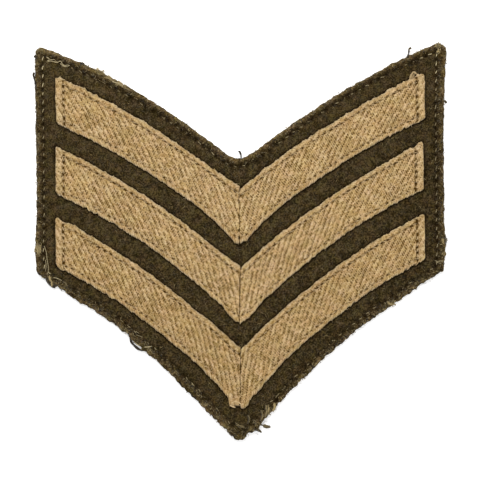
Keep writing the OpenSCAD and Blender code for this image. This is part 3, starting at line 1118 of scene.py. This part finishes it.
def tape_rows(chevron, side):
    """Places and directions of the stitches in each row of a tape."""
    half = TAPE_W / 2
    seed = tape_seed(chevron, side)
    edge_rows = [
        (LOWER_ROW, LOWER_ROW.inset - half, seed + 7),
        (UPPER_ROW, half - UPPER_ROW.inset, seed + 8),
    ]
    for row, v, row_seed in edge_rows:
        u = stitch_middles(np.arange(-6, 45), row.pitch, row_seed)
        x, y, heading = on_tape(chevron, side, u, np.full(len(u), v))
        keep = (side * x > 0.5) & (side * x < REACH - END_ROW.inset + 0.3)
        yield row, np.c_[x, y][keep], heading[keep]
    y = stitch_middles(np.arange(-40, 40), END_ROW.pitch, seed + 9)
    x = np.full(len(y), REACH + STRAYS[chevron.name, side].end - END_ROW.inset)
    keep = np.abs(along_tape(chevron, x, y)[1]) < half - 1.8
    yield END_ROW, np.c_[side * x, y][keep], np.full(keep.sum(), math.pi / 2)


def tape_stitching(material):
    """The tan rows along both edges and the end of each tape, and their backs under the cloth."""
    parts = []
    top = TAPE_Z + TAPE_T - 0.24
    for chevron, side in TAPES:
        for index, (row, places, heading) in enumerate(tape_rows(chevron, side)):
            seed = tape_seed(chevron, side) + index
            face = stitch_paths(
                places, heading - 0.25 * side, seed,
                half_length=0.62, top=top, dive=0.35, side_shift=0.05)
            back = stitch_paths(
                places, heading, seed,
                half_length=0.8, top=CLOTH_T - 0.1, dive=-0.3, side_shift=0.05, rings=5)
            parts.append(threads(face, 0.12, 5, row.tone, seed))
            parts.append(threads(back, 0.12, 4, -0.1, seed))
    strand_piece("tape_stitching", parts, material)


# Loose fibres

MATTED_HAIRS = 3600
RIM_CURLS = 2300
HAIRS_ON_TAPE = 330
# Below this height the edge is the worn foot
FOOT_TOP_Y = -8


def felt_surface(px, py):
    """Height of the face, falling away beyond the edge."""
    x, y = px.ravel(), py.ravel()
    inset = inset_at(x, y)
    z = face_height(x, y, np.maximum(inset, 0.25))
    return (z + 0.3 * np.minimum(inset - 0.25, 0)).reshape(px.shape)


def tape_surface(px, _):
    """Height at which the fuzz on the tapes lies."""
    return np.full(px.shape, TAPE_Z + TAPE_T - 0.02)


def fibre_paths(rng, x, y, heading, length, bend, rises, height=felt_surface, rings=5):
    """Randomly bent fibres that start at these places, lie at a height and bow up in the middle."""
    curl = rng.normal(0, bend, len(x))
    rise = rng.uniform(*rises, len(x))
    t = np.linspace(0, 1, rings)
    turn = heading[:, None] + curl[:, None] * (t - 0.5)
    stride = (length / (rings - 1))[:, None]
    run_x = np.cumsum(np.cos(turn) * stride, axis=1)
    run_y = np.cumsum(np.sin(turn) * stride, axis=1)
    px = x[:, None] + run_x - run_x[:, :1]
    py = y[:, None] + run_y - run_y[:, :1]
    pz = height(px, py) + rise[:, None] * np.sin(math.pi * t)
    return np.stack([px, py, pz + lay(px, py)], axis=-1)


def hairs(paths, radius, tone):
    """Fibres that taper at both ends."""
    t = np.linspace(0, 1, paths.shape[1])
    taper = 0.3 + 0.7 * np.sin(math.pi * t)
    return tubes(paths, radius[:, None] * taper, 3, tone)


def cloth_fibres(material):
    """Short curved hairs matted on the wool, and a fringe of them round the worn edge."""
    rng = np.random.default_rng(81)
    x, y = rng.uniform(-HALF_W, HALF_W, 20000), rng.uniform(-HALF_H, HALF_H, 20000)
    keep = inside_outline(x, y) & (tape_gap(x, y) > 0.35)
    x, y = x[keep][:MATTED_HAIRS], y[keep][:MATTED_HAIRS]
    count = len(x)
    heading = rng.uniform(0, 2 * math.pi, count)
    matted = fibre_paths(rng, x, y, heading, rng.uniform(0.5, 1.6, count), 1.6, (0.0, 0.12))
    radius = rng.uniform(0.03, 0.06, count)
    is_pale = rng.uniform(0, 1, count) < 0.06
    tone = np.where(is_pale, rng.uniform(-0.2, 0.5, count), rng.uniform(-1, -0.4, count))
    parts = [hairs(matted, radius, tone)]
    rim, along = evenly(0.3, 0.3)
    keep = rng.uniform(0, 1, len(rim)) < np.where(rim[:, 1] < FOOT_TOP_Y, 0.35, 0.8)
    rim, along = rim[keep], along[keep]
    count = len(rim)
    outward = along - math.pi / 2 + rng.normal(0, 1.0, count)
    length = rng.uniform(0.2, 0.5, count)
    fringe = fibre_paths(rng, *settled(*rim.T), outward, length, 1.6, (-0.4, 0.1))
    radius = rng.uniform(0.04, 0.07, count)
    tone = np.where(rim[:, 1] > 20, 0.3, -0.1) + rng.uniform(-0.7, 0.4, count)
    parts.append(hairs(fringe, radius, tone))
    strand_piece("cloth_fibres", parts, material)


def rim_curls(material):
    """Little curled strands that make the worn rim look knotted, thickest along the foot."""
    rng = np.random.default_rng(85)
    inset = rng.uniform(0.15, 2.2, RIM_CURLS)
    line_inset = 0.9
    line, along = evenly(line_inset, 0.3)
    chosen = rng.integers(0, len(line), RIM_CURLS)
    heading = along[chosen]
    x, y = line[chosen].T
    x = x - np.sin(heading) * (inset - line_inset)
    y = y + np.cos(heading) * (inset - line_inset)
    keep = rng.uniform(0, 1, RIM_CURLS) < np.where(y < FOOT_TOP_Y, 1.0, 0.55)
    x, y, inset = x[keep], y[keep], inset[keep]
    count = len(x)
    length = rng.uniform(0.5, 1.0, count)
    heading = rng.uniform(0, 2 * math.pi, count)
    paths = fibre_paths(rng, *settled(x, y), heading, length, 1.4, (-0.05, 0.08))
    rubbed = np.exp(-inset / 0.9)
    tone = rng.uniform(-1.2, -0.3, count) + (0.6 * rubbed + 0.15) * rng.uniform(0, 1.7, count)
    curls = hairs(paths, rng.uniform(0.09, 0.18, count), tone)
    strand_piece("rim_curls", [curls], material)


def tape_fibres(material):
    """Fine fuzz on the tapes, with a few dark hairs from the wool."""
    rng = np.random.default_rng(91)
    parts = []
    for chevron, side in TAPES:
        u = rng.uniform(1, chevron.bend_r * 0.33, HAIRS_ON_TAPE)
        v = rng.uniform(-1, 1, HAIRS_ON_TAPE) * (TAPE_W / 2 - 0.1)
        x, y, _ = on_tape(chevron, side, u, v)
        keep = (side * x > 0.3) & (side * x < REACH - 0.4)
        x, y = x[keep], y[keep]
        count = len(x)
        heading = rng.uniform(0, 2 * math.pi, count)
        length = rng.uniform(0.4, 1.5, count)
        paths = fibre_paths(rng, x, y, heading, length, 1.5, (0.02, 0.15), tape_surface)
        tone = np.where(rng.uniform(0, 1, count) < 0.12, -1.0, rng.uniform(0, 1, count))
        parts.append(hairs(paths, rng.uniform(0.02, 0.04, count), tone))
    strand_piece("tape_fibres", parts, material)


# Loose threads, at their places in the photograph, in which the badge is turned by ROLL. A thread's
# lift is its height above the cloth, and its tone runs from dark at -1 to pale at 1.

ROLL = math.radians(0.57)
Thread = namedtuple("Thread", "places radius tone lift")
PALE_THREADS = [
    Thread([(-59.9, 56.3), (-58.6, 56.7), (-57.6, 56.7)], 0.09, 0.15, 0.12),
    Thread([(-59.8, 56.1), (-58.4, 56.2), (-57.0, 55.8), (-55.8, 56.2), (-55.3, 55.4), (-54.6, 54.8),
            (-53.6, 55.0), (-52.9, 54.8)], 0.09, 0.15, 0.14),
    Thread([(-56.0, 55.6), (-55.0, 54.7), (-53.8, 54.5), (-53.2, 54.8)], 0.08, 0.1, 0.12),
    Thread([(-60.9, -1.0), (-60.2, -3.0), (-59.9, -5.5), (-59.6, -7.2), (-59.6, -9.0),
            (-60.0, -9.8)], 0.08, -0.1, 0.16),
    Thread([(-60.5, -5.4), (-60.3, -6.5), (-60.3, -8.0), (-60.6, -9.0)], 0.08, -0.2, 0.12),
    Thread([(-58.0, -10.9), (-57.2, -11.0), (-56.2, -11.4), (-55.4, -11.8)], 0.09, 0.1, 0.12),
    Thread([(-32.5, -27.6), (-31.8, -27.9), (-31.1, -28.3)], 0.08, -0.15, 0.1),
    Thread([(-32.4, -28.6), (-31.6, -28.9), (-30.3, -29.3)], 0.07, -0.4, 0.08),
    Thread([(-33.0, -30.6), (-32.2, -31.5), (-31.0, -32.1), (-29.2, -32.4),
            (-27.5, -32.2)], 0.15, 0.0, 0.05),
    Thread([(-39.7, 49.9), (-38.6, 49.5), (-37.5, 49.1), (-36.3, 48.4)], 0.14, 0.1, 0.1),
    Thread([(62.8, -5.9), (62.0, -5.7), (61.2, -5.9), (60.3, -5.6)], 0.10, -0.25, 0.1),
    Thread([(62.2, -6.4), (61.4, -6.3), (60.6, -6.1)], 0.08, -0.4, 0.1),
    Thread([(12.9, -46.6), (12.2, -47.4), (11.6, -48.4)], 0.10, 0.0, 0.1),
]
DARK_THREADS = [
    Thread([(-63.4, 47.9), (-63.7, 50.0), (-64.1, 51.3)], 0.20, -0.8, 0.1),
    Thread([(-64.0, 51.0), (-64.2, 51.9), (-64.0, 52.7)], 0.28, -0.75, 0.1),
    Thread([(51.6, 57.2), (52.0, 58.4), (52.3, 59.6)], 0.22, -0.75, 0.3),
    Thread([(52.1, 59.4), (52.4, 60.1), (53.0, 60.4)], 0.28, -0.55, 0.3),
    Thread([(0.15, 24.5), (0.2, 26.2), (0.1, 27.2)], 0.17, -0.75, 0.1),
    Thread([(0.2, 26.9), (-0.1, 27.9), (-0.6, 28.4)], 0.26, -0.8, 0.1),
    Thread([(-34.1, -29.3), (-33.9, -30.8), (-32.9, -32.0), (-31.6, -33.1),
            (-30.4, -33.5)], 0.33, -0.8, -0.3),
    Thread([(5.2, -56.2), (6.4, -56.5), (7.4, -56.8)], 0.24, -0.6, -0.2),
    Thread([(7.2, -56.8), (8.0, -57.1), (9.0, -57.2)], 0.46, -0.5, -0.2),
    Thread([(3.4, -57.3), (4.6, -58.0), (5.8, -58.4), (6.4, -58.9)], 0.26, -0.75, -0.2),
    Thread([(63.0, 44.0), (63.6, 43.7), (63.8, 43.2)], 0.32, -0.6, 0.0),
    Thread([(61.3, 60.2), (61.1, 61.0), (61.0, 61.8)], 0.24, -0.5, 0.3),
    Thread([(-63.2, 57.2), (-63.9, 57.6), (-63.3, 58.0)], 0.24, -0.75, 0.0),
    Thread([(-60.2, -10.9), (-59.6, -12.2), (-58.8, -13.2)], 0.40, -0.75, -0.3),
    Thread([(-59.6, -12.4), (-58.6, -13.5), (-57.4, -13.9)], 0.34, -0.8, -0.3),
    Thread([(-58.4, -12.8), (-57.4, -13.3), (-56.2, -13.0)], 0.34, -0.7, -0.3),
]
FRAYED_THREADS = [
    Thread([(7.3, -56.8), (8.2, -57.0), (9.2, -57.1)], 0.5, -0.3, 0.0),
    Thread([(5.0, -57.8), (5.9, -58.3), (6.5, -58.8)], 0.26, -0.4, -0.2),
    Thread([(7.9, -50.4), (8.1, -52.0), (7.7, -54.2)], 0.26, 0.1, 0.1),
    Thread([(8.6, -50.4), (8.7, -51.6), (8.3, -53.0)], 0.20, 0.35, 0.1),
    Thread([(10.4, -49.6), (10.7, -51.0), (10.0, -52.4)], 0.24, 0.4, 0.0),
    Thread([(6.4, -52.0), (6.8, -53.6), (6.2, -55.2)], 0.24, -0.2, 0.05),
    Thread([(4.0, -55.0), (4.6, -56.0), (4.2, -57.2)], 0.24, -0.1, 0.1),
    Thread([(2.2, -53.6), (2.8, -54.8), (2.2, -56.2)], 0.22, -0.2, 0.1),
    Thread([(-1.4, -56.2), (-0.2, -57.0), (1.2, -57.2)], 0.24, -0.15, 0.1),
    Thread([(-12.4, -49.8), (-11.2, -50.2), (-9.9, -50.1)], 0.24, 0.15, 0.0),
    Thread([(62.8, 1.7), (63.6, 0.9), (63.4, -0.2)], 0.42, -0.6, 0.0),
    Thread([(62.5, 1.2), (62.9, 0.4), (63.0, -0.4)], 0.24, 0.5, 0.1),
    Thread([(63.1, -2.8), (63.6, -3.4), (63.2, -4.2)], 0.30, 0.0, 0.0),
    Thread([(-63.1, -0.6), (-62.9, -2.0), (-62.5, -3.3)], 0.44, 0.3, 0.0),
    Thread([(-62.4, -0.8), (-62.2, -2.2), (-62.3, -3.2)], 0.32, 0.0, 0.05),
    Thread([(-59.3, -10.3), (-59.1, -11.2), (-58.9, -12.0)], 0.20, 0.5, 0.1),
    Thread([(-58.7, -11.8), (-58.5, -12.8), (-58.5, -13.7)], 0.15, 0.8, 0.1),
    Thread([(-55.2, -11.9), (-54.3, -12.4), (-53.9, -13.3)], 0.20, -0.2, 0.1),
    Thread([(-49.6, 55.0), (-49.1, 55.6), (-48.5, 55.2)], 0.38, -0.5, -0.1),
    Thread([(-44.8, 53.2), (-43.6, 53.0), (-42.4, 52.2)], 0.42, 0.3, -0.1),
    Thread([(-41.6, 51.3), (-40.5, 51.1), (-39.5, 50.4)], 0.40, 0.3, -0.1),
    Thread([(-38.6, 49.5), (-37.4, 49.1), (-36.4, 48.4)], 0.38, 0.4, -0.1),
    Thread([(-36.2, 48.0), (-35.2, 47.7), (-34.2, 47.0)], 0.30, 0.1, -0.1),
    Thread([(45.4, -18.3), (46.6, -19.2), (47.8, -19.2)], 0.34, 0.1, -0.1),
]
TAPE_THREADS = [
    Thread([(52.5, 50.3), (52.8, 51.6), (53.4, 52.6), (54.0, 52.6), (54.7, 52.0)], 0.28, -0.1, 0.5),
    Thread([(53.1, 50.5), (53.4, 51.3), (53.8, 52.1)], 0.30, -0.4, 0.5),
    Thread([(-2.8, -49.8), (-2.0, -49.3), (-0.9, -49.4), (0.0, -49.9), (0.2, -50.6)], 0.15, 0.7, 1.35),
    Thread([(-3.2, -50.4), (-2.5, -50.8), (-1.6, -51.0)], 0.16, 0.9, 1.25),
]
# Bunches of hairs: their direction in degrees, and how far they fan out from it in radians
Tuft = namedtuple("Tuft", "x y heading fan count length tone")
TUFTS = [
    Tuft(-49.0, 55.0, 100, 0.5, 16, 1.1, -0.3),
    Tuft(-44.4, 53.2, 70, 0.8, 34, 0.7, 0.5),
    Tuft(-43.0, 52.6, 60, 0.8, 34, 0.7, 0.4),
    Tuft(-40.8, 51.2, 60, 1.0, 34, 0.7, 0.4),
    Tuft(-37.6, 49.2, 60, 1.2, 34, 0.8, 0.45),
    Tuft(-36.2, 48.4, 60, 1.2, 24, 0.7, 0.3),
    Tuft(-47.5, 54.3, 60, 1.0, 20, 0.6, -0.2),
    Tuft(61.2, 61.0, 80, 1.0, 30, 1.3, 0.35),
    Tuft(62.6, 60.3, 40, 0.8, 20, 1.2, 0.1),
    Tuft(61.6, 59.6, 200, 1.2, 20, 1.0, 0.5),
    Tuft(63.4, 0.9, 0, 0.8, 18, 0.9, -0.3),
    Tuft(63.0, -3.4, -20, 0.9, 16, 0.8, 0.1),
    Tuft(-62.8, -2.4, 190, 1.4, 46, 1.2, 0.4),
    Tuft(-62.6, -1.2, 170, 1.4, 30, 1.1, 0.05),
    Tuft(-59.0, -11.0, 250, 0.7, 12, 0.6, 0.3),
    Tuft(-58.4, -12.6, 240, 0.8, 10, 0.5, 0.1),
    Tuft(-28.1, -33.2, 250, 1.2, 24, 1.0, 0.15),
    Tuft(10.4, -51.2, -30, 1.0, 22, 0.8, 0.4),
    Tuft(8.6, -52.8, 250, 0.9, 20, 0.9, 0.0),
    Tuft(5.0, -55.4, 280, 1.0, 20, 0.9, -0.2),
    Tuft(47.4, -19.0, -70, 1.2, 26, 0.7, 0.2),
]


def unturned(places):
    """Places of the photograph turned back to the badge's own directions."""
    x, y = np.asarray(places, float).T
    return np.c_[x * math.cos(ROLL) + y * math.sin(ROLL), y * math.cos(ROLL) - x * math.sin(ROLL)]


def curve(places, count):
    """A smooth line through the places."""
    ends = 2 * places[[0, -1]] - places[[1, -2]]
    held = np.vstack([ends[:1], places, ends[1:]])
    at = np.linspace(0, len(places) - 1, count)
    i = np.minimum(at.astype(int), len(places) - 2)
    t = (at - i)[:, None]
    a, b, c, d = held[i], held[i + 1], held[i + 2], held[i + 3]
    bend = 2 * b + (c - a) * t + (2 * a - 5 * b + 4 * c - d) * t ** 2
    return 0.5 * (bend + (3 * b - a - 3 * c + d) * t ** 3)


def loose_strands(strands, seed):
    """Two-ply threads along their places, thinner at the ends."""
    parts = []
    for index, strand in enumerate(strands):
        rings = 6 * len(strand.places)
        x, y = curve(unturned(strand.places), rings).T
        path = np.c_[x, y, felt_surface(x, y) + strand.lift + lay(x, y)][None]
        length = np.hypot(np.diff(x), np.diff(y)).sum()
        twisted = plied(path, 0.45 * strand.radius, length / strand.radius / 2.5, seed + index)
        taper = 0.7 + 0.3 * np.sin(math.pi * np.linspace(0.04, 0.96, rings)) ** 0.5
        radii = np.tile(0.9 * strand.radius * taper, (2, 1))
        parts.append(tubes(twisted, radii, 6, np.full(2, strand.tone)))
    return parts


def frayed_strands(strands, seed):
    """Bundles of fine hairs along their places."""
    rng = np.random.default_rng(seed)
    parts = []
    for strand in strands:
        rings = 3 * len(strand.places)
        line = curve(unturned(strand.places), rings)
        count = round(8 + 32 * strand.radius)
        bunch = rng.normal(0, 0.55, (count, 1, 2)) + rng.normal(0, 0.25, (count, rings, 2))
        x, y = np.moveaxis(line + bunch * strand.radius, -1, 0)
        rise = strand.lift + strand.radius * rng.uniform(0, 1, (count, 1))
        paths = np.stack([x, y, felt_surface(x, y) + rise + lay(x, y)], axis=-1)
        tone = strand.tone + rng.uniform(-0.8, 0.5, count)
        parts.append(hairs(paths, rng.uniform(0.07, 0.12, count), tone))
    return parts


def tuft_hairs(tufts, seed):
    """Bunches of short hairs that stand out of the cloth's edge."""
    rng = np.random.default_rng(seed)
    parts = []
    for tuft in tufts:
        count = tuft.count
        x, y = (unturned([(tuft.x, tuft.y)]) + rng.normal(0, 0.3, (count, 2))).T
        heading = math.radians(tuft.heading) + tuft.fan * rng.normal(0, 1, count)
        length = tuft.length * rng.uniform(0.5, 1.2, count)
        paths = fibre_paths(rng, x, y, heading, length, 1.6, (0, 0.3), rings=6)
        tone = tuft.tone + rng.uniform(-0.45, 0.35, count)
        parts.append(hairs(paths, rng.uniform(0.06, 0.12, count), tone))
    return parts


# The floor and the lights, in metres, and the camera

FLOOR_HALF = 2.5
CAMERA_HEIGHT = 900
FRAME_W = 148.8
VIEW_CENTRE = (-0.147, 0.776)


def soft_light(name, place, size, power, colour):
    """A round lamp that faces the badge."""
    light = bpy.data.lights.new(name, "AREA")
    light.shape = "DISK"
    light.size = size
    light.energy = power
    light.color = colour
    lamp = placed(name, light)
    lamp.location = place
    lamp.rotation_mode = "QUATERNION"
    lamp.rotation_quaternion = (-Vector(place)).to_track_quat("-Z", "Y")
    lamp.visible_camera = False


def studio():
    """A pale floor that glows faintly, soft light from beyond the notched edge, and an even sky."""
    floor_mesh = bpy.data.meshes.new("floor")
    corners = [(x * FLOOR_HALF, y * FLOOR_HALF, 0) for x, y in ((-1, -1), (1, -1), (1, 1), (-1, 1))]
    floor_mesh.from_pydata(corners, [], [(0, 1, 2, 3)])
    paint = Shader("glowing_floor", roughness=0.9)
    # The floor glows, a painted light that washes out the shadows on it and lights the badge from
    # below
    paint.feed((1, 1, 1), paint.surface["Emission Color"])
    paint.feed(0.4, paint.surface["Emission Strength"])
    pale = paint.ramp(paint.noise(300), (0.3, (0.86, 0.86, 0.86)), (0.7, (0.89, 0.89, 0.89)))
    floor_mesh.materials.append(paint.colour(pale))
    placed("floor", floor_mesh)
    world = bpy.data.worlds.new("studio")
    bpy.context.scene.world = world
    world.use_nodes = True
    sky = world.node_tree.nodes["Background"].inputs
    sky["Color"].default_value = (1, 1, 1, 1)
    sky["Strength"].default_value = 0.62
    soft_light("key", (-0.06, 0.286, 0.506), 0.25, 2.95, (1, 0.985, 0.96))
    soft_light("fill", (0.45, -0.5, 0.8), 0.7, 2.5, (1, 1, 1))


def photo_camera():
    """Looks straight down through a long lens, turned as the badge lies in the photograph."""
    data = bpy.data.cameras.new("photo_camera")
    data.sensor_width = 36
    data.lens = data.sensor_width * CAMERA_HEIGHT / FRAME_W
    data.clip_start = 0.01
    data.clip_end = 20
    camera = placed("photo_camera", data)
    x, y = VIEW_CENTRE
    camera.location = (x * MM, y * MM, (CAMERA_HEIGHT + RIM_T) * MM)
    camera.rotation_euler = (0, 0, -ROLL)
    bpy.context.scene.camera = camera
    bpy.context.scene.view_settings.view_transform = "Standard"


photo_camera()
studio()
wool = wool_material()
worsted = tape_material()
pale_thread = thread_material("pale_thread", (0.12, 0.090, 0.040), (0.56, 0.47, 0.27))
tan_thread = thread_material("tan_thread", (0.14, 0.09, 0.035), (0.52, 0.38, 0.20))
wool_hair = thread_material("wool_hair", (0.010, 0.006, 0.002), (0.42, 0.32, 0.14))
tape_hair = thread_material("tape_hair", (0.05, 0.04, 0.02), (0.56, 0.43, 0.25))
backing_cloth(wool)
for chevron, side in TAPES:
    tape_strip(chevron, side, worsted)
edge_stitching(pale_thread)
tape_stitching(tan_thread)
cloth_fibres(wool_hair)
rim_curls(wool_hair)
tape_fibres(tape_hair)
strand_piece("loose_thread", loose_strands(PALE_THREADS, 401), pale_thread)
wool_parts = loose_strands(DARK_THREADS, 431) + frayed_strands(FRAYED_THREADS, 441)
strand_piece("loose_wool", wool_parts + tuft_hairs(TUFTS, 451), wool_hair)
strand_piece("loose_tape_yarn", loose_strands(TAPE_THREADS, 461), tan_thread)
